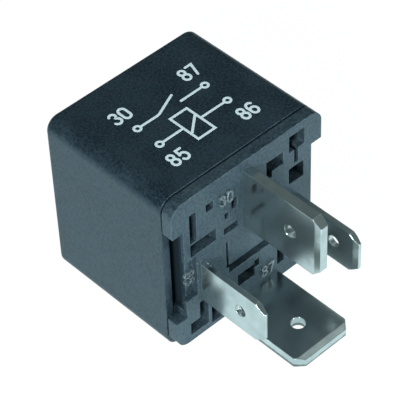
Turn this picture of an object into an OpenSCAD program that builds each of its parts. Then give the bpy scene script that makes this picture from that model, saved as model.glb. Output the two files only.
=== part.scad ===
// Plug-in power relay with one normally open contact.
// X runs out of the base along the blades, Z is up, and the relay lies on one of its walls.
// The origin is the centre of the base's terminal face.

/* [Body] */
// Width between the outer faces of the side walls
body_w = 26; // [24.8:0.1:32]
// Height from the wall it lies on to the printed wall
body_h = 26.2; // [25.8:0.1:32]
// Length of the cover, from its mouth to its closed end
cover_len = 21.4; // [20.8:0.1:30]
// Thickness of the cover's walls
wall = 1.2; // [0.8:0.1:1.4]
// Radius of the four long edges
corner_r = 2; // [1.6:0.1:3]
// Radius of the edges round the closed end
end_r = 0.7; // [0.3:0.1:1]

/* [Base] */
// Thickness of the flange that stays outside the cover
flange_t = 2; // [1.4:0.1:3]
// Depth of the plug that goes into the cover
plug_t = 2.6; // [1.6:0.1:2.8]
// Clearance between the plug and the cover's walls
plug_gap = 0.2; // [0.05:0.05:0.3]
// Setback of the flange's lower edge from the cover's wall
foot_inset = 1; // [0.2:0.1:1]
// Width of the groove between the flange and the cover's mouth
seam_w = 0.3; // [0.1:0.05:0.5]
// Depth of that groove
seam_d = 0.5; // [0.2:0.05:0.6]
// Height of the recess in each side of the flange
notch_h = 15.4; // [10:0.1:17]
// Depth of the recess in each side of the flange
notch_d = 1.8; // [1.5:0.1:2.2]
// Thickness of the lip that each recess leaves in front of its slot
lip_t = 0.6; // [0.5:0.1:0.9]
// Depth of the step beside one of the coil blades
step_d = 0.9; // [0.3:0.1:1.2]
// Depth of the pockets in the terminal face
pocket_d = 2.8; // [1.6:0.1:3]
// Height of the pads that the magnet stands on
pad_t = 1.2; // [1:0.1:1.4]
// Width of the pads
pad_w = 2.2; // [1.6:0.1:2.6]

/* [Blades] */
// Width of the two contact blades
wide_w = 9.5; // [8:0.1:9.8]
// Thickness of the two contact blades
wide_t = 1.5; // [1:0.1:1.6]
// Length of the upper contact blade outside the base
upper_len = 13; // [10:0.1:16]
// Length of the lower contact blade outside the base
lower_len = 13.7; // [10:0.1:16]
// Width of the two coil blades
slim_w = 6.5; // [4.8:0.1:6.6]
// Thickness of the two coil blades
slim_t = 0.8; // [0.5:0.1:1]
// Length of the coil blades outside the base
slim_len = 11.4; // [9:0.1:14]
// Distance between the two coil blades
coil_pitch = 16.8; // [16.2:0.1:17.6]
// Distance of the coil blades' middle below the middle of the base
coil_drop = 2.2; // [1.8:0.1:2.4]
// Distance from the upper contact blade to the printed wall's outer face
upper_edge = 1.85; // [1.5:0.05:2.4]
// Distance from the lower contact blade to the lower wall's outer face
lower_edge = 1.3; // [1.1:0.05:1.8]
// Diameter of the detent holes in the contact blades
wide_hole_d = 2; // [1.6:0.1:2.6]
// Diameter of the detent holes in the coil blades
slim_hole_d = 1.8; // [1.2:0.1:2]
// Distance of the contact blades' holes from their tips
wide_hole_back = 5; // [4:0.1:6]
// Distance of the coil blades' holes from their tips
slim_hole_back = 4.2; // [3.4:0.1:5]
// Length of the bevel on both faces of each tip
bevel_len = 0.9; // [0.6:0.1:1.6]

/* [Magnet] */
// Thickness of the yoke
yoke_t = 1.6; // [1.2:0.1:1.8]
// Distance from the yoke's sides to the bobbin's
yoke_inset = 0.7; // [0.4:0.1:1]
// Space between the yoke and the printed wall
roof_space = 1.3; // [1.2:0.1:1.6]
// Distance from the back of the cover to the yoke's free end
end_space = 3.8; // [3.7:0.1:4.4]
// Diameter of the core's pole face
pole_d = 9; // [8:0.1:9.6]
// Thickness of the core's pole face
pole_t = 1; // [0.8:0.1:1.2]
// Thickness of the bobbin's flanges and barrel
bobbin_t = 0.8; // [0.6:0.1:0.9]
// Distance from the winding to the edge of the bobbin's flanges
winding_inset = 0.8; // [0.5:0.1:1]
// Width of the bobbin's hooks that stop the armature
hook_w = 1.2; // [1:0.1:1.4]
// Clearance between the magnet's moving and fixed parts
air = 0.3; // [0.2:0.05:0.35]
// Length of the coil blades' tails past the bobbin's flange
tail_len = 2.4; // [2:0.1:3]
// Thickness of the tape round the winding
tape_t = 0.1; // [0.05:0.01:0.15]
// Part of the free height under the yoke that the bobbin takes, the contacts take the rest
coil_share = 0.726; // [0.7:0.005:0.735]
// Diameter of the bobbin's barrel as part of the winding's diameter
barrel_share = 0.623; // [0.55:0.01:0.66]
// Diameter of the winding's wire ends
wire_d = 0.4; // [0.2:0.05:0.5]
// Thickness of the armature
armature_t = 1.5; // [1.2:0.1:1.5]
// Angle of the open armature
open_deg = 2.8; // [2.4:0.1:3]
// Gap that stays between the closed armature and the core
pole_gap = 0.06; // [0.04:0.01:0.1]

/* [Contacts] */
// Thickness of the contact spring and the hinge spring
leaf_t = 0.25; // [0.15:0.05:0.25]
// Width of the hinge spring and the contact spring's upper part
leaf_w = 10; // [9.6:0.1:10.4]
// Length of the hinge spring on the yoke
strap_len = 5.4; // [5:0.1:7]
// Width of the contact spring's tongue
tongue_w = 6; // [5:0.1:7]
// Diameter of the contacts
contact_d = 4; // [3:0.1:4.2]
// Thickness of the contacts
contact_t = 0.8; // [0.6:0.1:0.8]
// Distance between the two rivets of a pair
rivet_pitch = 6.8; // [6.6:0.1:7]
// Distance from the hinge to the rivets in the yoke
yoke_rivet_x = 3.4; // [3:0.1:3.6]
// Distance from the hinge to the rivets in the armature
armature_rivet_z = 4.6; // [4.4:0.1:5]
// Diameter of the rivet shanks
shank_d = 1.6; // [1.2:0.1:1.8]
// Height of the rivet heads
head_t = 0.4; // [0.3:0.1:0.4]
// Width of the lower contact blade's carrier inside the cover
carrier_w = 6; // [5:0.1:6.4]
// Width of the copper braid
braid_w = 3; // [2:0.1:3.4]
// Thickness of the copper braid
braid_t = 0.5; // [0.3:0.1:0.5]

/* [Hidden] */
$fn = 48;
eps = 0.01;
inner_w = body_w - 2 * (wall + plug_gap);     // the plug
inner_h = body_h - 2 * (wall + plug_gap);
mouth_x = -flange_t;                          // the cover's mouth
back_x = -flange_t - cover_len + wall;        // the cover's inner end
plug_x = -flange_t - plug_t;                  // the plug's inner face
foot_x = plug_x - pad_t;                      // the yoke foot's outer face
coil_x = foot_x - yoke_t;                     // where the bobbin starts
hinge_x = back_x + end_space;                 // the yoke's free end, which the armature leans on
pole_x = hinge_x + pole_gap;                  // the pole face
tail_x = coil_x - bobbin_t - tail_len;        // the end of the coil blades' tails
coil_z = -coil_drop;                          // the four blades' middles
upper_z = body_h / 2 - upper_edge - wide_w / 2;
lower_z = lower_edge + wide_t / 2 - body_h / 2;
yoke_z = body_h / 2 - wall - roof_space;      // the yoke's upper face
bobbin_w = coil_share * (yoke_z - yoke_t - air - lower_z - wide_t / 2);
floor_z = yoke_z - yoke_t - air - bobbin_w;   // the bobbin's lower edge
winding_d = bobbin_w - 2 * winding_inset;
yoke_w = bobbin_w - 2 * yoke_inset;
coil_axis_z = floor_z + bobbin_w / 2;
barrel_d = winding_d * barrel_share;
core_d = barrel_d - 2 * bobbin_t;
neck_d = core_d * 0.75;                       // the core's riveted end
step_top = coil_z + slim_w / 2 + 1.55;        // the step beside the coil blade
step_bottom = coil_z - slim_w / 3;
tail_z = coil_axis_z - winding_d * 0.36;      // the coil blades' tails and the wire ends
closed_x = hinge_x - armature_t;              // the closed armature's back
contact_x = closed_x + contact_t;             // the closed contact's face
contact_z = (floor_z - air + lower_z + wide_t / 2) / 2;
rivet_z = yoke_z - armature_rivet_z;
skirt_z = yoke_z - 2;                         // the hinge spring's lower edge
head_d = shank_d * 1.7;

// A rounded rectangle in the YZ plane, from x0 to x1
module slab(w, h, r, x0, x1) {
    translate([x0, 0, 0]) rotate([90, 0, 90]) linear_extrude(x1 - x0) {
        square([w - 2 * r, h], center = true);
        square([w, h - 2 * r], center = true);
        for (i = [-1, 1], j = [-1, 1]) translate([i * (w / 2 - r), j * (h / 2 - r)]) circle(r);
    }
}

// A box given by its two corners
module box(a, b) {
    translate(a) cube(b - a);
}

// A rod along X
module rod_x(d, x0, x1, y, z) {
    translate([x0, y, z]) rotate([0, 90, 0]) cylinder(d = d, h = x1 - x0);
}

// Turns what is drawn with the closed armature to where it rests
module opened() {
    translate([hinge_x, 0, yoke_z]) rotate([0, open_deg, 0]) translate([-hinge_x, 0, -yoke_z]) children();
}

// Half of the cover's outline, from the middle of its width: (distance from the middle, length)
module cover_half(half) {
    difference() {
        square([half, cover_len]);
        translate([half - end_r, cover_len - end_r]) difference() {
            square(end_r + 1);
            circle(end_r);
        }
    }
}

// The cover: a cup with four round posts, walls between them and a rounded closed end
module cover() {
    color("#3c4650") difference() {
        translate([mouth_x, 0, 0]) rotate([0, -90, 0]) union() {
            // here Z is the length, X is the height and Y is the width
            for (m = [0, 1]) mirror([0, m, 0])
                translate([body_h / 2 - corner_r, 0, 0]) rotate([90, 0, -90])
                    linear_extrude(body_h - 2 * corner_r) cover_half(body_w / 2);
            for (m = [0, 1]) mirror([m, 0, 0])
                translate([0, body_w / 2 - corner_r, 0]) rotate([90, 0, 0])
                    linear_extrude(body_w - 2 * corner_r) cover_half(body_h / 2);
            for (j = [-1, 1], k = [-1, 1])
                translate([j * (body_h / 2 - corner_r), k * (body_w / 2 - corner_r), 0])
                    rotate_extrude() cover_half(corner_r);
        }
        slab(body_w - 2 * wall, body_h - 2 * wall, corner_r - wall + 0.5, back_x, mouth_x + 1);
    }
}

// A pocket in the terminal face: its middle and its size as parts of the plug's half width and height
module pocket(y, z, w, h, d = pocket_d) {
    translate([-d / 2 + 0.5, y * inner_w / 2, z * inner_h / 2])
        cube([d + 1, w * inner_w / 2, h * inner_h / 2], center = true);
}

// The base: flange, plug, side recesses, step, pockets, blade slots and the magnet's pads
module base() {
    edge = body_w / 2 - notch_d;
    deep = edge - 0.7;
    low = lower_z - wide_t / 2;
    color("#465058") difference() {
        union() {
            translate([0, 0, foot_inset / 2]) {
                slab(body_w, body_h - foot_inset, corner_r, seam_w - flange_t, 0);
                slab(body_w - 2 * seam_d, body_h - foot_inset - 2 * seam_d, corner_r - seam_d,
                    mouth_x, seam_w - flange_t + eps);
            }
            slab(inner_w, inner_h, corner_r - wall + 0.5 - plug_gap, plug_x, mouth_x + eps);
            for (s = [-1, 1]) for (z = [floor_z + pad_w / 2, rivet_z - 3])
                translate([foot_x, s * yoke_w * 0.32 - pad_w / 2, z - pad_w / 2])
                    cube([pad_t + eps, pad_w, pad_w]);
        }
        // recesses in both sides, each with a lip in front of a deeper slot
        for (s = [-1, 1]) {
            translate([0, s * (edge + 5), 0.35]) cube([2 * flange_t, 10, notch_h], center = true);
            translate([(plug_x + 0.8 - lip_t) / 2, s * (deep + 5), 0.35])
                cube([-plug_x - 0.8 - lip_t, 10, notch_h - 2], center = true);
        }
        // the step beside the coil blade
        box([-step_d, -edge - 1, step_bottom], [1, -coil_pitch / 2 - slim_t, step_top]);
        // pockets beside the upper blade, right and left
        pocket(0.74, 0.89, 0.24, 0.23);
        pocket(0.73, 0.68, 0.06, 0.2);
        pocket(0.73, 0.42, 0.23, 0.23);
        pocket(0.4, 0.775, 0.26, 0.17);
        pocket(0.315, 0.65, 0.085, 0.1);
        pocket(-0.825, 0.66, 0.1, 0.42);
        pocket(-0.685, 0.34, 0.38, 0.18);
        pocket(-0.575, 0.805, 0.11, 0.11, 1.8);
        pocket(-0.272, 0.28, 0.215, 0.1, 1.8);
        pocket(-0.215, 0.61, 0.085, 0.145, 1.8);
        pocket(-0.333, 0.5, 0.06, 0.085, 1.2);
        // pockets beside and above the lower blade
        pocket(-0.71, -0.73, 0.13, 0.42);
        pocket(-0.845, -0.85, 0.15, 0.18);
        pocket(-0.525, -0.86, 0.15, 0.26);
        pocket(-0.06, -0.625, 0.26, 0.18);
        pocket(0.105, -0.545, 0.07, 0.11, 1.6);
        pocket(0.48, -0.665, 0.105, 0.3);
        pocket(0.8, -0.76, 0.26, 0.36);
        // a slot across the middle of the face and a groove that meets it
        pocket(0.025, -0.33, 0.69, 0.125);
        pocket(-0.338, -0.1, 0.035, 0.4, 1.4);
        // slots for the four blades, the lower one is open downwards
        box([plug_x - 1, -wide_t / 2, upper_z - wide_w / 2], [1, wide_t / 2, upper_z + wide_w / 2]);
        box([plug_x - 1, -wide_w / 2, -body_h / 2], [1, wide_w / 2, low + wide_t]);
        for (s = [-1, 1])
            box([plug_x - 1, s * coil_pitch / 2 - slim_t / 2, coil_z - slim_w / 2],
                [1, s * coil_pitch / 2 + slim_t / 2, coil_z + slim_w / 2]);
    }
}

// A blade that lies in the XY plane: corners cut, both faces bevelled to tip_t, a detent hole
module blade(w, t, tip_t, len, root, cut_x, cut_y, hole_d, hole_back) {
    difference() {
        intersection() {
            linear_extrude(t + 1, center = true)
                polygon([[root, -w / 2], [len - cut_x, -w / 2], [len, cut_y - w / 2],
                    [len, w / 2 - cut_y], [len - cut_x, w / 2], [root, w / 2]]);
            rotate([90, 0, 0]) linear_extrude(w + 1, center = true)
                polygon([[root, -t / 2], [len - bevel_len, -t / 2], [len, -tip_t / 2],
                    [len, tip_t / 2], [len - bevel_len, t / 2], [root, t / 2]]);
        }
        translate([len - hole_back, 0, 0]) cylinder(d = hole_d, h = t + 1, center = true);
    }
}

// The upper contact blade: upright, with a foot that is welded to the yoke
module terminal_30() {
    color("#c9ccc8") {
        translate([0, 0, upper_z]) rotate([90, 0, 0])
            blade(wide_w, wide_t, wide_t * 0.75, upper_len, plug_x - eps, 1.2, 1.1, wide_hole_d, wide_hole_back);
        box([foot_x, -wide_t / 2, rivet_z - 1.4], [plug_x, yoke_w * 0.4, yoke_z - 0.2]);
    }
}

// The lower contact blade: flat, with a narrower carrier that bends up to the fixed contact
module terminal_87() {
    front = contact_x + contact_t;
    color("#c9ccc8") difference() {
        union() {
            translate([0, 0, lower_z])
                blade(wide_w, wide_t, wide_t * 0.75, lower_len, plug_x, 1.2, 1.1, wide_hole_d, wide_hole_back);
            translate([0, 0, lower_z]) rotate([90, 0, 0]) linear_extrude(carrier_w, center = true) {
                translate([front + wide_t, -wide_t / 2]) square([plug_x + eps - front - wide_t, wide_t]);
                translate([front, wide_t / 2]) square([wide_t, floor_z - air - lower_z - wide_t / 2]);
                intersection() {
                    translate([front + wide_t, wide_t / 2]) circle(wide_t);
                    translate([front, -wide_t / 2]) square(wide_t + eps);
                }
            }
        }
        rod_x(shank_d, front - 1, front + wide_t + 1, 0, contact_z);
    }
}

// A coil blade: upright, with a thin tail that its wire end is wound on
module coil_terminal(side) {
    y = side * coil_pitch / 2;
    color("#c9ccc8") {
        translate([0, y, coil_z]) rotate([90, 0, 0])
            blade(slim_w, slim_t, slim_t / 2, slim_len, plug_x, 1.5, 1.1, slim_hole_d, slim_hole_back);
        box([tail_x, y - slim_t / 2, tail_z - 0.5], [plug_x + eps, y + slim_t / 2, tail_z + 0.5]);
    }
}

module terminal_85() { coil_terminal(-1); }

module terminal_86() { coil_terminal(1); }

// The yoke: a foot on the base's pads and a leg above the coil
module yoke() {
    color("#9aa0a2") difference() {
        union() {
            box([coil_x, -yoke_w / 2, floor_z], [foot_x, yoke_w / 2, yoke_z]);
            box([hinge_x, -yoke_w / 2, yoke_z - yoke_t], [foot_x, yoke_w / 2, yoke_z]);
        }
        rod_x(neck_d, coil_x - 1, foot_x + 1, 0, coil_axis_z);
        for (s = [-1, 1]) translate([hinge_x + yoke_rivet_x, s * rivet_pitch / 2, yoke_z - yoke_t - 1])
            cylinder(d = shank_d, h = yoke_t + 2);
    }
}

// The core: its thin end is riveted into the yoke, its pole face is at the other end
module core() {
    color("#a4a9ab") {
        rod_x(neck_d, coil_x - eps, foot_x, 0, coil_axis_z);
        rod_x(core_d, pole_x + pole_t - eps, coil_x, 0, coil_axis_z);
        rod_x(pole_d, pole_x, pole_x + pole_t, 0, coil_axis_z);
    }
}

// The bobbin: two square flanges, a barrel and two hooks that stop the open armature
module bobbin() {
    x0 = pole_x + pole_t;
    stop_x = closed_x - (yoke_z - floor_z - 1) * sin(open_deg) - 0.05;
    arm_y = yoke_w / 2 + air - 0.05;
    color("#e8e2d2") difference() {
        union() {
            rod_x(barrel_d, x0, coil_x, 0, coil_axis_z);
            for (x = [x0, coil_x - bobbin_t])
                translate([x, -bobbin_w / 2, floor_z]) cube([bobbin_t, bobbin_w, bobbin_w]);
            for (m = [0, 1]) mirror([0, m, 0]) {
                translate([stop_x - 0.9, arm_y, floor_z + 1])
                    cube([x0 + bobbin_t - stop_x + 0.9, hook_w, 2 * hook_w]);
                translate([stop_x - 0.9, arm_y - 1, floor_z + 1]) cube([0.9, 1 + eps, 2 * hook_w]);
            }
        }
        rod_x(core_d, x0 - 1, coil_x + 1, 0, coil_axis_z);
    }
}

// The winding: many turns of wire, as one body between the flanges
module winding() {
    color("#b06a30") difference() {
        rod_x(winding_d, pole_x + pole_t + bobbin_t, coil_x - bobbin_t, 0, coil_axis_z);
        rod_x(barrel_d, pole_x, coil_x, 0, coil_axis_z);
    }
}

module winding_tape() {
    x0 = pole_x + pole_t + 1.5 * bobbin_t;
    color("#d8c060") difference() {
        rod_x(winding_d + 2 * tape_t, x0, tail_x, 0, coil_axis_z);
        rod_x(winding_d, x0 - 1, tail_x + 1, 0, coil_axis_z);
    }
}

// A wire end: straight from the winding to the blade's tail, then three turns round it
module coil_lead(side) {
    y = side * coil_pitch / 2;
    r = norm([slim_t / 2, 0.5]) + wire_d / 2;
    start = sqrt(pow(winding_d / 2, 2) - pow(tail_z - coil_axis_z, 2));
    color("#b8743a") {
        translate([tail_x + tail_len / 2, side * (start - 0.05), tail_z]) rotate([side * -90, 0, 0])
            cylinder(d = wire_d, h = coil_pitch / 2 - start - r + 0.1, $fn = 16);
        for (i = [-1, 0, 1]) translate([tail_x + tail_len / 2 + i * wire_d, y, tail_z]) rotate([0, 90, 0])
            rotate_extrude($fn = 32) translate([r, 0]) circle(d = wire_d + 0.02, $fn = 14);
    }
}

module coil_lead_85() { coil_lead(-1); }

module coil_lead_86() { coil_lead(1); }

// A flat strip that runs along X and bends down with an outer radius, drawn at width w
module bent_strip(w, t, r, back, low, front, top) {
    rotate([90, 0, 0]) linear_extrude(w, center = true) {
        translate([back + r, top - t]) square([front - back - r, t]);
        translate([back, low]) square([t, top - r - low]);
        intersection() {
            translate([back + r, top - r]) difference() {
                circle(r);
                circle(r - t);
            }
            translate([back, top - r]) square(r + eps);
        }
    }
}

// The hinge spring: riveted on the yoke's leg, it bends round the yoke's end
module hinge_spring() {
    color("#c8a25a") difference() {
        bent_strip(leaf_w, leaf_t, 0.5, closed_x - 0.15 - leaf_t, skirt_z, hinge_x + strap_len, yoke_z + leaf_t);
        for (s = [-1, 1]) translate([hinge_x + yoke_rivet_x, s * rivet_pitch / 2, yoke_z - 1])
            cylinder(d = shank_d, h = 3);
    }
}

module yoke_rivets() {
    color("#b9bdbb") for (s = [-1, 1]) translate([hinge_x + yoke_rivet_x, s * rivet_pitch / 2, 0]) {
        translate([0, 0, yoke_z - yoke_t]) cylinder(d = shank_d, h = yoke_t + leaf_t + eps);
        translate([0, 0, yoke_z + leaf_t]) cylinder(d = head_d, h = head_t);
    }
}

// The armature: a steel plate, resting in its open position
module armature() {
    color("#989ea1") opened() difference() {
        box([closed_x, -yoke_w / 2, floor_z + 0.8], [hinge_x - 0.04, yoke_w / 2, yoke_z - 0.1]);
        for (s = [-1, 1]) rod_x(shank_d, closed_x - 1, hinge_x + 1, s * rivet_pitch / 2, rivet_z);
    }
}

// The contact spring: on the armature's back, with a tongue that reaches down to the contact
module contact_spring() {
    color("#c8a25a") opened() difference() {
        union() {
            box([closed_x - leaf_t, -leaf_w / 2, rivet_z - head_d / 2 - 0.4], [closed_x, leaf_w / 2, skirt_z - 0.15]);
            box([closed_x - leaf_t, -tongue_w / 2, contact_z - contact_d / 2], [closed_x, tongue_w / 2, rivet_z]);
        }
        for (s = [-1, 1]) rod_x(shank_d, closed_x - 1, closed_x + 1, s * rivet_pitch / 2, rivet_z);
        rod_x(shank_d, closed_x - 1, closed_x + 1, 0, contact_z);
    }
}

module armature_rivets() {
    color("#b9bdbb") opened() for (s = [-1, 1]) {
        rod_x(shank_d, closed_x - leaf_t - eps, hinge_x - 0.04, s * rivet_pitch / 2, rivet_z);
        rod_x(head_d, closed_x - leaf_t - head_t, closed_x - leaf_t, s * rivet_pitch / 2, rivet_z);
    }
}

module moving_contact() {
    color("#d6d4c8") opened() {
        rod_x(contact_d, closed_x, contact_x - 0.04, 0, contact_z);
        rod_x(shank_d, closed_x - leaf_t - eps, closed_x + eps, 0, contact_z);
        rod_x(head_d, closed_x - leaf_t - 0.25, closed_x - leaf_t, 0, contact_z);
    }
}

// The fixed contact: its shank goes through the carrier's upright end
module fixed_contact() {
    color("#d6d4c8") {
        rod_x(contact_d, contact_x, contact_x + contact_t, 0, contact_z);
        rod_x(shank_d, contact_x + contact_t - eps, contact_x + contact_t + wide_t, 0, contact_z);
    }
}

// The braid: from the yoke, over the hinge, down to the contact spring's tongue
module braid() {
    back = closed_x - leaf_t - braid_t;
    color("#c0703c") {
        opened() box([back, -braid_w / 2, contact_z + head_d / 2 + 0.2], [back + braid_t, braid_w / 2, skirt_z - 0.3]);
        bent_strip(braid_w, braid_t, braid_t + 0.5, back - air, skirt_z - 0.9, hinge_x + strap_len - 0.8,
            yoke_z + leaf_t + 0.12 + braid_t);
    }
}

cover();
base();
terminal_30();
terminal_87();
terminal_85();
terminal_86();
yoke();
core();
bobbin();
winding();
winding_tape();
coil_lead_85();
coil_lead_86();
hinge_spring();
yoke_rivets();
armature();
contact_spring();
armature_rivets();
moving_contact();
fixed_contact();
braid();
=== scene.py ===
import math

import bmesh
import bpy
from mathutils import Matrix, Vector


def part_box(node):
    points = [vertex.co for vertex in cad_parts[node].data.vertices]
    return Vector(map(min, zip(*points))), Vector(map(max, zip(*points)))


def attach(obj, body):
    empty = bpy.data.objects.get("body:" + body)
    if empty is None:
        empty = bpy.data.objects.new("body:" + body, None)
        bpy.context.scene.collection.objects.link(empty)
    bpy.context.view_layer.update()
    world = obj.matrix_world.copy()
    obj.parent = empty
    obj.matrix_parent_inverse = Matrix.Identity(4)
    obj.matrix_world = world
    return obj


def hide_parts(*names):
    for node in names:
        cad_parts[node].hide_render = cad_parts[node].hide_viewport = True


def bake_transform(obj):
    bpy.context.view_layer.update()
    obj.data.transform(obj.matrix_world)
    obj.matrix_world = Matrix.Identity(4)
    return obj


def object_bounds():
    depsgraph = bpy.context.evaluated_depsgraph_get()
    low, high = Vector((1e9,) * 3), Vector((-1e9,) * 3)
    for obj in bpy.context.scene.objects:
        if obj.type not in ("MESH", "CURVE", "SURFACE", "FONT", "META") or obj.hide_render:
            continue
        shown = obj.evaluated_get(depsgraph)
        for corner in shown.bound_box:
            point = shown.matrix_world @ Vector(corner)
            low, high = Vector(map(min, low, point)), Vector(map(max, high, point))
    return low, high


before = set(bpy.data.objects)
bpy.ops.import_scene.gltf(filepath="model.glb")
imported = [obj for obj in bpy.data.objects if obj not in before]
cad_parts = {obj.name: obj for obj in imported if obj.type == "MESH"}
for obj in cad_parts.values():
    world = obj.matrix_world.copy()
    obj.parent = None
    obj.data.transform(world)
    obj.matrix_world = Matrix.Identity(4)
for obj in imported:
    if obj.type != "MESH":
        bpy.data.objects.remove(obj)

cad_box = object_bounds()
scene = bpy.context.scene
scene.view_settings.view_transform = "Standard"

# ---------------------------------------------------------------- camera
# A long lens that looks down on the printed wall, one side wall and the terminal face.
# Its angles are in degrees, the point that it looks at and its distance from it in mm.

MM = 0.001
turn = math.radians(48.011)
tilt = math.radians(44.603)
lean = math.radians(-2.466)
looked_at = Vector((-8.692, -0.383, 0.162))
distance = 256.1
back = Vector((math.sin(turn) * math.cos(tilt), -math.cos(turn) * math.cos(tilt), math.sin(tilt)))
level = Vector((math.cos(turn), math.sin(turn), 0))
above = back.cross(level)
right = math.cos(lean) * level + math.sin(lean) * above
up = -math.sin(lean) * level + math.cos(lean) * above
lens = bpy.data.cameras.new("camera")
lens.sensor_width = 36
lens.lens = 178.13
lens.clip_start = 0.01
lens.clip_end = 5
camera = bpy.data.objects.new("camera", lens)
camera_place = Matrix((right, up, back)).transposed().to_4x4()
camera_place.translation = (looked_at + distance * back) * MM
camera.matrix_world = camera_place
scene.collection.objects.link(camera)
scene.camera = camera

# ---------------------------------------------------------------- floor and light
# A white table, a dim room above it, two soft lamps in front of the relay and a faint one
# behind it. The table is white to the eye, and a cooler white in the gloss of the blades.


def feed(node, inputs):
    """Give each input of a shader node a value, or the socket that drives it."""
    for key, value in inputs.items():
        if isinstance(value, bpy.types.NodeSocket):
            node.id_data.links.new(value, node.inputs[key])
        else:
            node.inputs[key].default_value = value


def add_node(tree, kind, inputs=None, **settings):
    """A new shader node with its settings made first and its inputs fed after them."""
    node = tree.nodes.new(kind)
    for key, value in settings.items():
        setattr(node, key, value)
    feed(node, inputs or {})
    return node


def calc(tree, operation, *values, clamp=False):
    """The result of one sum on values or sockets."""
    sum_node = add_node(tree, "ShaderNodeMath", dict(enumerate(values)), operation=operation, use_clamp=clamp)
    return sum_node.outputs[0]


def mixed(tree, factor, low, high, kind="RGBA"):
    """Low where factor is 0, high where it is 1; kind is RGBA for colours, FLOAT for numbers."""
    mix = add_node(tree, "ShaderNodeMix", {"Factor": factor, "A": low, "B": high}, data_type=kind)
    return mix.outputs["Result"]


half_table = 0.2
table_height = cad_box[0][2]
table_corners = [
    (x * half_table, y * half_table, table_height)
    for x, y in ((-1, -1), (1, -1), (1, 1), (-1, 1))]
floor_mesh = bpy.data.meshes.new("floor")
floor_mesh.from_pydata(table_corners, [], [(0, 1, 2, 3)])
floor = bpy.data.objects.new("floor", floor_mesh)
scene.collection.objects.link(floor)

table_white = bpy.data.materials.new("table_white")
table_white.use_nodes = True
tree = table_white.node_tree
tree.nodes.clear()
seen_share = 0.92
glossy_share = 0.71
rays = add_node(tree, "ShaderNodeLightPath").outputs
seen_white = calc(tree, "MULTIPLY", rays["Is Camera Ray"], seen_share)
glossy_white = calc(tree, "MULTIPLY", rays["Is Glossy Ray"], glossy_share)
chalk = add_node(tree, "ShaderNodeBsdfDiffuse", {"Color": (0.86, 0.86, 0.86, 1)})
glow = add_node(tree, "ShaderNodeEmission", {
    "Color": mixed(tree, rays["Is Camera Ray"], (0.74, 0.95, 1, 1), (1, 1, 1, 1)),
    "Strength": 1.06})
paper = add_node(tree, "ShaderNodeMixShader", {
    "Fac": calc(tree, "ADD", seen_white, glossy_white),
    1: chalk.outputs[0],
    2: glow.outputs[0]})
add_node(tree, "ShaderNodeOutputMaterial", {"Surface": paper.outputs[0]})
floor_mesh.materials.append(table_white)

room = bpy.data.worlds.new("room")
room.use_nodes = True
tree = room.node_tree
tree.nodes.clear()
rays = add_node(tree, "ShaderNodeLightPath").outputs
dim_air = add_node(tree, "ShaderNodeBackground", {"Color": (0.72, 0.95, 0.98, 1), "Strength": 0.14})
white_air = add_node(tree, "ShaderNodeBackground", {"Color": (1, 1, 1, 1), "Strength": 1})
air = add_node(tree, "ShaderNodeMixShader", {
    "Fac": rays["Is Camera Ray"],
    1: dim_air.outputs[0],
    2: white_air.outputs[0]})
add_node(tree, "ShaderNodeOutputWorld", {"Surface": air.outputs[0]})
scene.world = room


def softbox(name, place, size, power):
    """A square lamp that faces the relay: place and size in metres, power in watts."""
    lamp = bpy.data.lights.new(name, "AREA")
    lamp.shape = "SQUARE"
    lamp.size = size
    lamp.energy = power
    lamp.color = (0.84, 0.97, 1)
    body = bpy.data.objects.new(name, lamp)
    body.location = place
    body.rotation_euler = (Vector((0, 0, 0)) - Vector(place)).to_track_quat("-Z", "Y").to_euler()
    scene.collection.objects.link(body)


softbox("key_lamp", place=(0.3, -0.5, 0.3), size=0.16, power=4.5)
softbox("fill_lamp", place=(0.6, 0.12, 0.15), size=0.25, power=2.6)
softbox("back_lamp", place=(0, 0.27, 0.5), size=0.2, power=0.05)

# ---------------------------------------------------------------- cover
# One cup of glass-filled nylon, injection moulded in a spark-eroded mould and snapped over the
# base. Its skin has a fine grain, and its edges are rubbed a little paler by handling.


def on_piece(tree):
    """The place on the piece, in metres."""
    return add_node(tree, "ShaderNodeTexCoord").outputs["Object"]


def noise(tree, scale, detail, roughness=0.5, place=None):
    """Soft random patches over the piece, the finer the larger the scale."""
    cloudy = add_node(tree, "ShaderNodeTexNoise", {
        "Vector": place or on_piece(tree),
        "Scale": scale,
        "Detail": detail,
        "Roughness": roughness})
    return cloudy.outputs["Fac"]


def ramp(tree, value, start, end, top=1):
    """0 where value is at start, top where it is at end, and straight between them."""
    slope = add_node(tree, "ShaderNodeMapRange", {
        "Value": value,
        "From Min": start,
        "From Max": end,
        "To Max": top})
    return slope.outputs["Result"]


def node_group(name, ins, outs):
    """A new group with its named inputs and outputs, and the two nodes that carry them inside."""
    group = bpy.data.node_groups.new(name, "ShaderNodeTree")
    for label, kind, value in ins:
        socket = group.interface.new_socket(label, in_out="INPUT", socket_type=kind)
        socket.default_value = value
    for label, kind in outs:
        group.interface.new_socket(label, in_out="OUTPUT", socket_type=kind)
    return group, group.nodes.new("NodeGroupInput").outputs, group.nodes.new("NodeGroupOutput")


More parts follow.
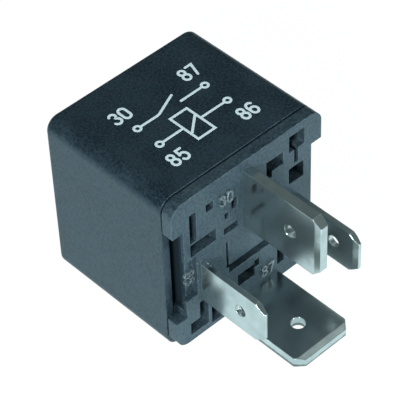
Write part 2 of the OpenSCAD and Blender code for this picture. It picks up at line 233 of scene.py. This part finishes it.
# edge mask: a mask broken up by patches, 0 where the rounded and the flat normal are less than
# 6 degrees apart and 1 from 31 degrees on, and the rounded normal itself
# the mask pales worn edges, and on the raised numbers it makes a painted highlight
edge_mask, given, result = node_group(
    "edge_mask",
    [("Width", "NodeSocketFloat", 0.0003),
     ("Breakup", "NodeSocketFloat", 900.0)],
    [("Mask", "NodeSocketFloat"),
     ("Normal", "NodeSocketVector")])
rounded = add_node(edge_mask, "ShaderNodeBevel", {"Radius": given["Width"]}, samples=6).outputs["Normal"]
flat = add_node(edge_mask, "ShaderNodeNewGeometry").outputs["True Normal"]
agreement = add_node(edge_mask, "ShaderNodeVectorMath", {0: rounded, 1: flat}, operation="DOT_PRODUCT")
along_edge = ramp(edge_mask, agreement.outputs["Value"], 0.995, 0.86)
patches = ramp(edge_mask, noise(edge_mask, given["Breakup"], 3), 0.38, 0.62)
feed(result, {
    "Mask": calc(edge_mask, "MULTIPLY", along_edge, patches),
    "Normal": rounded})

# moulded grain: the colour of a moulded part, its roughness and the height of its spark-eroded skin
moulded_grain, given, result = node_group(
    "moulded_grain",
    [("Color", "NodeSocketColor", (0.02, 0.03, 0.045, 1)),
     ("Pale", "NodeSocketColor", (0.1, 0.13, 0.16, 1)),
     ("Grain", "NodeSocketFloat", 4200.0),
     ("Roughness", "NodeSocketFloat", 0.5),
     ("Edge_paling", "NodeSocketFloat", 0.0)],
    [("Color", "NodeSocketColor"),
     ("Roughness", "NodeSocketFloat"),
     ("Height", "NodeSocketFloat")])
sparks = noise(moulded_grain, given["Grain"], 4, 0.65)
clouds = noise(moulded_grain, 160, 5)
speckle = ramp(moulded_grain, sparks, 0.36, 0.66, top=0.3)
haze = ramp(moulded_grain, clouds, 0.4, 0.75, top=0.14)
# edges paled by 0.55 of the edge mask: rubbed on most parts, and a painted highlight on the raised numbers,
# whose pale colour is near white
paler_edges = calc(moulded_grain, "MULTIPLY", given["Edge_paling"], 0.55)
paleness = calc(moulded_grain, "ADD", calc(moulded_grain, "ADD", speckle, haze), paler_edges, clamp=True)
feed(result, {
    "Color": mixed(moulded_grain, paleness, given["Color"], given["Pale"]),
    "Roughness": calc(moulded_grain, "MULTIPLY_ADD", clouds, 0.22, given["Roughness"]),
    "Height": sparks})


def new_material(name):
    """A new material, its tree and its shader."""
    mat = bpy.data.materials.new(name)
    mat.use_nodes = True
    return mat, mat.node_tree, mat.node_tree.nodes["Principled BSDF"]


def skinned(name, skin_group, skin_values, edge_width, depth, strength):
    """A material with paled edges, whose colour, roughness and relief come from one skin group."""
    mat, tree, bsdf = new_material(name)
    edges = add_node(tree, "ShaderNodeGroup", {"Width": edge_width}, node_tree=edge_mask)
    skin = add_node(tree, "ShaderNodeGroup", {
        **skin_values,
        "Edge_paling": edges.outputs["Mask"]}, node_tree=skin_group)
    relief = add_node(tree, "ShaderNodeBump", {
        "Distance": depth,
        "Strength": strength,
        "Height": skin.outputs["Height"],
        "Normal": edges.outputs["Normal"]})
    feed(bsdf, {
        "Base Color": skin.outputs["Color"],
        "Roughness": skin.outputs["Roughness"],
        "Normal": relief.outputs["Normal"]})
    return mat


def moulded(name, color, pale, roughness, grain, depth, edge_width, shine=0.62):
    """Moulded plastic: depth of its grain and width of its paled edges in metres, grain as a scale."""
    values = {"Color": (*color, 1), "Pale": (*pale, 1), "Roughness": roughness, "Grain": grain}
    mat = skinned(name, moulded_grain, values, edge_width, depth, strength=0.6)
    feed(mat.node_tree.nodes["Principled BSDF"], {
        "Specular IOR Level": shine,
        "Specular Tint": (0.61, 0.88, 1, 1)})
    return mat


def finish_node(name, mat):
    """Give a solid of the frame its finish."""
    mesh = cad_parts[name].data
    mesh.materials.clear()
    mesh.materials.append(mat)


finish_node("cover", moulded(
    "cover_nylon", color=(0.004, 0.009, 0.0145), pale=(0.09, 0.13, 0.165),
    roughness=0.26, grain=3200, depth=0.00004, edge_width=0.00025))

# ---------------------------------------------------------------- base
# Moulded in one shot of the same nylon: a flange round the rim, corner pads, pockets that keep
# the walls even, and slots through which the blades are pushed from inside.

base_nylon = moulded(
    "base_nylon", color=(0.0126, 0.024, 0.036), pale=(0.16, 0.21, 0.235),
    roughness=0.28, grain=2700, depth=0.00003, edge_width=0.0002, shine=0.54)
finish_node("base", base_nylon)

# painted shade: the walls from 1.1 to 1.9 mm behind the face and inside the flange's rim, in the pockets and
# slots where little light falls, are painted near black and made rougher, so they lose their sheen
tree = base_nylon.node_tree
bsdf = tree.nodes["Principled BSDF"]
axes = add_node(tree, "ShaderNodeSeparateXYZ", {"Vector": on_piece(tree)}).outputs
behind_face = ramp(tree, axes["X"], -0.0011, -0.0019)
inside_width = ramp(tree, calc(tree, "ABSOLUTE", axes["Y"]), 0.0126, 0.0122)
inside_height = ramp(tree, calc(tree, "ABSOLUTE", axes["Z"]), 0.0122, 0.0118)
painted_pocket_shade = calc(tree, "MULTIPLY", calc(tree, "MULTIPLY", behind_face, inside_width), inside_height)
skin_color = bsdf.inputs["Base Color"].links[0].from_socket
skin_roughness = bsdf.inputs["Roughness"].links[0].from_socket
pocket_shade_color = (0.003, 0.006, 0.01, 1)
pocket_shade_roughness = 0.85
feed(bsdf, {
    "Base Color": mixed(tree, painted_pocket_shade, skin_color, pocket_shade_color),
    "Roughness": mixed(tree, painted_pocket_shade, skin_roughness, pocket_shade_roughness, kind="FLOAT")})


def arc(cx, cy, rx, ry, start, end, steps=10):
    """Points on an ellipse round (cx, cy), from start to end in degrees."""
    angles = [math.radians(start + (end - start) * i / steps) for i in range(steps + 1)]
    return [(cx + rx * math.cos(a), cy + ry * math.sin(a)) for a in angles]


# each figure as the paths of a round-ended pen, in a cell 1 high; True closes a path
figure_width = 0.5
figure_step = 0.76
figures = {
    "0": [(arc(0.25, 0.74, 0.25, 0.26, 0, 180) + arc(0.25, 0.26, 0.25, 0.26, 180, 360), True)],
    "3": [(arc(0.24, 0.77, 0.22, 0.23, 160, -70) + arc(0.24, 0.27, 0.26, 0.27, 70, -160), False)],
    "5": [([(0.46, 1), (0.09, 1), (0.05, 0.58)], False),
          (arc(0.24, 0.32, 0.26, 0.32, 138, -150), False)],
    "6": [(arc(0.27, 0.66, 0.27, 0.34, 40, 180) + [(0.01, 0.36)], False),
          (arc(0.25, 0.29, 0.25, 0.29, 0, 360, 16)[1:], True)],
    "7": [([(0, 1), (0.5, 1), (0.18, 0)], False)],
    "8": [(arc(0.25, 0.77, 0.22, 0.23, 0, 360, 16)[1:], True),
          (arc(0.25, 0.27, 0.25, 0.27, 0, 360, 16)[1:], True)],
}


def number(text, height, x=0, y=0):
    """Paths of a number of this height in mm, with its middle at (x, y)."""
    width = height * (figure_width + figure_step * (len(text) - 1))
    paths = []
    for i, figure in enumerate(text):
        for path, closed in figures[figure]:
            moved = [
                (x - width / 2 + height * (px + figure_step * i), y + height * (py - 0.5))
                for px, py in path]
            paths.append((moved, closed))
    return paths


def pen(name, paths, width, height, origin, read, rise, mat):
    """Raised strokes along paths of (x, y) in mm, x along read and y along rise.

    Corners are mitred, open ends rounded. Each stroke stands a little higher than the one before
    it, so that the tops of two that cross never lie in one plane.
    """
    foot = -0.2  # of the height: the strokes are set a little into the wall
    shoulder = 0.94  # of the width: their sides slope
    sharpest = 0.4  # limit on how far a mitre runs out
    more_lift = 0.05  # of the height, from stroke to stroke
    cap_angles = (0.5, 0.95, 1.35)
    origin = Vector(origin) * MM
    read = Vector(read) * MM
    rise = Vector(rise) * MM
    out = read.cross(rise).normalized() * height * MM
    bm = bmesh.new()
    for stroke, (path, closed) in enumerate(paths):
        points = [Vector(point) for point in path]
        count = len(points)
        runs = [
            (points[(i + 1) % count] - points[i]).normalized()
            for i in range(count if closed else count - 1)]
        ribs = []
        for i, point in enumerate(points):
            arriving = runs[i - 1] if closed or i else runs[0]
            leaving = runs[i] if i < len(runs) else runs[-1]
            left = Vector((-arriving.y, arriving.x))
            side = (left + Vector((-leaving.y, leaving.x))).normalized()
            side *= width / 2 / max(side.dot(left), sharpest)
            ribs.append((point, side))
        if not closed:
            caps = []
            for (point, side), way in ((ribs[0], -1), (ribs[-1], 1)):
                ahead = Vector((side.y, -side.x)) * way
                caps.append([(point + ahead * math.sin(t), side * math.cos(t)) for t in cap_angles])
            ribs = caps[0][::-1] + ribs + caps[1]
        lift = 1 + more_lift * stroke
        rings = []
        for point, side in ribs:
            ring = []
            for corner, share in (
                    (point + side, foot),
                    (point + side * shoulder, lift),
                    (point - side * shoulder, lift),
                    (point - side, foot)):
                ring.append(bm.verts.new(origin + corner.x * read + corner.y * rise + out * share))
            rings.append(ring)
        for i in range(len(rings) if closed else len(rings) - 1):
            ring = rings[i]
            following = rings[(i + 1) % len(rings)]
            for j in range(4):
                k = (j + 1) % 4
                bm.faces.new((ring[j], ring[k], following[k], following[j]))
        if not closed:
            bm.faces.new(rings[0])
            bm.faces.new(rings[-1])
    bmesh.ops.recalc_face_normals(bm, faces=bm.faces)
    mesh = bpy.data.meshes.new(name)
    bm.to_mesh(mesh)
    bm.free()
    mesh.materials.append(mat)
    piece = bpy.data.objects.new(name, mesh)
    scene.collection.objects.link(piece)
    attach(piece, "relay")


# the terminal numbers stand proud of the face beside their blades; all lengths in mm
mark_height = 1.6
mark_stroke = 0.26
mark_relief = 0.3
# painted highlight: the raised numbers are the base's dark nylon, but their pale colour is near white, so
# their grain and edges show as bright glints
figure_nylon_painted_glint = moulded(
    "figure_nylon_painted_glint", color=(0.015, 0.03, 0.04), pale=(0.62, 0.7, 0.72),
    roughness=0.12, grain=4200, depth=0.00001, edge_width=0.00012)
for mark, origin, read, rise in (
        ("30", (0, -4.0, 9.1), (0, 1, 0), (0, 0, 1)),
        ("85", (-0.9, -9.9, -1.3), (0, 0, -1), (0, 1, 0)),
        ("86", (0, 5.9, 0.2), (0, 1, 0), (0, 0, 1)),
        ("87", (0, 3.0, -8.7), (0, 1, 0), (0, 0, 1))):
    pen("moulded_" + mark, number(mark, mark_height), mark_stroke, mark_relief,
        origin, read, rise, figure_nylon_painted_glint)

# ---------------------------------------------------------------- blades
# Brass strip, punched, coined to a lead-in bevel at the tip and plated with bright tin.
# The plating is rubbed paler at the edges and dulled in soft patches.

tin_skin, given, result = node_group(
    "tin_skin",
    [("Color", "NodeSocketColor", (0.6, 0.62, 0.6, 1)),
     ("Dull", "NodeSocketColor", (0.4, 0.43, 0.42, 1)),
     ("Roughness", "NodeSocketFloat", 0.22),
     ("Edge_paling", "NodeSocketFloat", 0.0)],
    [("Color", "NodeSocketColor"),
     ("Roughness", "NodeSocketFloat"),
     ("Height", "NodeSocketFloat")])
along_strip = 90
across_strip = 2600
drawn = add_node(tin_skin, "ShaderNodeMapping", {
    "Vector": on_piece(tin_skin),
    "Scale": (along_strip, across_strip, across_strip)})
draw_lines = noise(tin_skin, 1, 3, place=drawn.outputs["Vector"])
bloom = noise(tin_skin, 420, 6)
bloomed = mixed(tin_skin, ramp(tin_skin, bloom, 0.35, 0.7), given["Color"], given["Dull"])
feed(result, {
    "Color": mixed(tin_skin, given["Edge_paling"], bloomed, (0.76, 0.83, 0.83, 1)),
    "Roughness": calc(tin_skin, "MULTIPLY_ADD", bloom, 0.16, given["Roughness"]),
    "Height": draw_lines})


def plated(name, color, dull, roughness):
    """Plated or bare metal strip, with its draw lines along X."""
    values = {"Color": (*color, 1), "Dull": (*dull, 1), "Roughness": roughness}
    mat = skinned(name, tin_skin, values, edge_width=0.00016, depth=0.000006, strength=0.5)
    feed(mat.node_tree.nodes["Principled BSDF"], {"Metallic": 0.98})
    return mat


bright = (0.7, 0.745, 0.73)
bloomed_tin = (0.55, 0.6, 0.59)
blade_tin = plated("blade_tin", color=bright, dull=bloomed_tin, roughness=0.12)
for name in ("terminal_30", "terminal_85", "terminal_86"):
    finish_node(name, blade_tin)

# the flat blade is darker on its underside and along a thin band at the bottom of its sides, whose upper edge
# wavers
tin_dark_lower_band = plated("tin_dark_lower_band", color=bright, dull=bloomed_tin, roughness=0.12)
tree = tin_dark_lower_band.node_tree
bsdf = tree.nodes["Principled BSDF"]
height_on_blade = add_node(tree, "ShaderNodeSeparateXYZ", {"Vector": on_piece(tree)}).outputs["Z"]
band_wave = 0.0004
wavy_height = calc(tree, "MULTIPLY_ADD", noise(tree, 1500, 2), band_wave, height_on_blade)
dark_lower_band = ramp(tree, wavy_height, -0.01105, -0.01125)
plating = bsdf.inputs["Base Color"].links[0].from_socket
dark_band_color = (0.2, 0.24, 0.23, 1)
feed(bsdf, {"Base Color": mixed(tree, dark_lower_band, plating, dark_band_color)})
finish_node("terminal_87", tin_dark_lower_band)

# ---------------------------------------------------------------- magnet
# Yoke, core and armature of soft iron with a thin nickel plating, a natural nylon bobbin,
# and enamelled wire wound on it under a lap of polyester tape.

plated_iron = plated("plated_iron", color=(0.5, 0.51, 0.5), dull=(0.36, 0.37, 0.37), roughness=0.3)
for name in ("yoke", "core", "armature"):
    finish_node(name, plated_iron)
finish_node("bobbin", moulded(
    "natural_nylon", color=(0.72, 0.68, 0.56), pale=(0.8, 0.78, 0.7),
    roughness=0.4, grain=3000, depth=0.00001, edge_width=0.00015))


def wound(name, color, pitch):
    """Enamelled wire laid turn beside turn along X, one pitch apart in metres."""
    mat, tree, bsdf = new_material(name)
    wave_scale = 0.3142 / pitch  # a wave repeats every 0.3142 / scale
    turns = add_node(tree, "ShaderNodeTexWave", {
        "Vector": on_piece(tree),
        "Scale": wave_scale,
        "Distortion": 0.6}, bands_direction="X").outputs["Fac"]
    relief = add_node(tree, "ShaderNodeBump", {"Distance": pitch * 0.4, "Height": turns})
    # painted shade: the wire is darker between the turns, in the grooves where shade falls
    shade_between_turns = [share * 0.35 for share in color]
    feed(bsdf, {
        "Base Color": mixed(tree, turns, (*shade_between_turns, 1), (*color, 1)),
        "Metallic": 0.7,
        "Roughness": 0.3,
        "Coat Weight": 0.6,
        "Normal": relief.outputs["Normal"]})
    return mat


finish_node("winding", wound("enamelled_wire", (0.5, 0.17, 0.06), 0.00014))
for blade_number in ("85", "86"):
    wire_end = wound("wire_end_" + blade_number, (0.62, 0.27, 0.1), 0.0004)
    finish_node("coil_lead_" + blade_number, wire_end)
finish_node("winding_tape", moulded(
    "yellow_tape", color=(0.62, 0.42, 0.06), pale=(0.75, 0.6, 0.2),
    roughness=0.25, grain=900, depth=0.000004, edge_width=0.0001))

# ---------------------------------------------------------------- contacts and springs
# Bronze leaves riveted to yoke and armature, silver contacts, and a flat copper braid that
# carries the load's current past the hinge.

bronze = plated("spring_bronze", color=(0.62, 0.4, 0.2), dull=(0.5, 0.3, 0.14), roughness=0.24)
finish_node("contact_spring", bronze)


def over_hinge(name, node, mat):
    """A copy of a strip's solid with this finish, put in place of the solid, which is hidden."""
    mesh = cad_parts[node].data.copy()
    mesh.materials.clear()
    mesh.materials.append(mat)
    strip = bpy.data.objects.new(name, mesh)
    scene.collection.objects.link(strip)
    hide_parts(node)
    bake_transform(strip)


over_hinge("bent_leaf", "hinge_spring", bronze)
rivet_steel = plated("rivet_steel", color=(0.62, 0.62, 0.6), dull=(0.45, 0.46, 0.45), roughness=0.26)
for name in ("yoke_rivets", "armature_rivets"):
    finish_node(name, rivet_steel)
silver = plated("contact_silver", color=(0.82, 0.8, 0.74), dull=(0.66, 0.64, 0.58), roughness=0.24)
for name in ("moving_contact", "fixed_contact"):
    finish_node(name, silver)

# two lays of strands that cross each other
braid_copper, tree, bsdf = new_material("braid_copper")
lays = []
for way in (1, -1):
    slanted = add_node(tree, "ShaderNodeMapping", {
        "Vector": on_piece(tree),
        "Rotation": (0.6 * way, 0.5 * way, 0)})
    strands = add_node(tree, "ShaderNodeTexWave", {
        "Vector": slanted.outputs["Vector"],
        "Scale": 900}, bands_direction="Y")
    lays.append(strands.outputs["Fac"])
weave = calc(tree, "MAXIMUM", *lays)
relief = add_node(tree, "ShaderNodeBump", {"Distance": 0.0001, "Height": weave})
# painted shade: the weave is dark where neither lay of strands rises, in the gaps between strands where shade
# falls
feed(bsdf, {
    "Base Color": mixed(tree, weave, (0.16, 0.05, 0.02, 1), (0.72, 0.34, 0.16, 1)),
    "Metallic": 1,
    "Roughness": 0.38,
    "Normal": relief.outputs["Normal"]})

over_hinge("flat_braid", "braid", braid_copper)

# ---------------------------------------------------------------- print on the cover
# Pad-printed pale ink on the upper wall: the four terminals' numbers round the circuit of a
# coil and a normally open contact. It lies thin, so the ink is a little uneven.

print_ink, tree, bsdf = new_material("print_ink")
thickness_of_ink = ramp(tree, noise(tree, 2600, 4), 0.3, 0.62)
feed(bsdf, {
    "Base Color": mixed(tree, thickness_of_ink, (0.78, 0.92, 0.97, 1), (0.93, 1, 1, 1)),
    "Roughness": 0.5,
    "Specular IOR Level": 0.4})

printed_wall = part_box("cover")[1][2] / MM
line_width = 0.36
line_thickness = 0.019
coil_line_thickness = 0.016
pad_radius = 0.46
pad_thickness = 0.022
figure_height = 2.05
figure_stroke = 0.37
figure_thickness = 0.02


def print_ink_on_wall(name, paths, width, thickness):
    """Ink in mm: x runs across the wall, y away from the terminals."""
    pen(name, paths, width, thickness, (0, 0, printed_wall), (0, 1, 0), (-1, 0, 0), print_ink)


# strokes that meet have their own thickness, so that no two tops share a plane
hinged_arm = [(-5.4, 13.67), (-2.5, 13.65), (-2.1, 13.72), (-0.6, 14.38), (1.4, 15.25)]
fixed_arm = [(5.2, 13.6), (1.5, 13.57)]
coil_frame = [(-1.82, 6.87), (1.05, 6.87), (1.05, 12.06), (-1.82, 12.06)]
coil_slash = [(-1.6, 8.25), (0.85, 10.35)]
coil_ends = [([(-5.4, 9.62), (-1.9, 9.62)], False), ([(1.1, 9.5), (5.2, 9.47)], False)]
print_ink_on_wall("print_switch", [(hinged_arm, False)], line_width, line_thickness)
print_ink_on_wall("print_contact", [(fixed_arm, False)], line_width, line_thickness)
print_ink_on_wall("print_coil_ends", coil_ends, line_width, coil_line_thickness)
print_ink_on_wall("print_coil", [(coil_frame, True)], line_width, line_thickness)
print_ink_on_wall("print_coil_slash", [(coil_slash, False)], line_width, coil_line_thickness)
for mark, x, y in (("30", -5.87, 13.68), ("87", 5.7, 13.6), ("85", -5.86, 9.62), ("86", 5.7, 9.47)):
    ring = arc(x, y, pad_radius, pad_radius, 0, 348.75, 31)
    print_ink_on_wall("print_pad_" + mark, [(ring, True)], line_width, pad_thickness)
for mark, x, y in (("30", -5.87, 16.95), ("87", 5.97, 16.83), ("85", -5.85, 6.3), ("86", 6.1, 6.2)):
    figures_on_wall = number(mark, figure_height, x, y)
    print_ink_on_wall("print_number_" + mark, figures_on_wall, figure_stroke, figure_thickness)
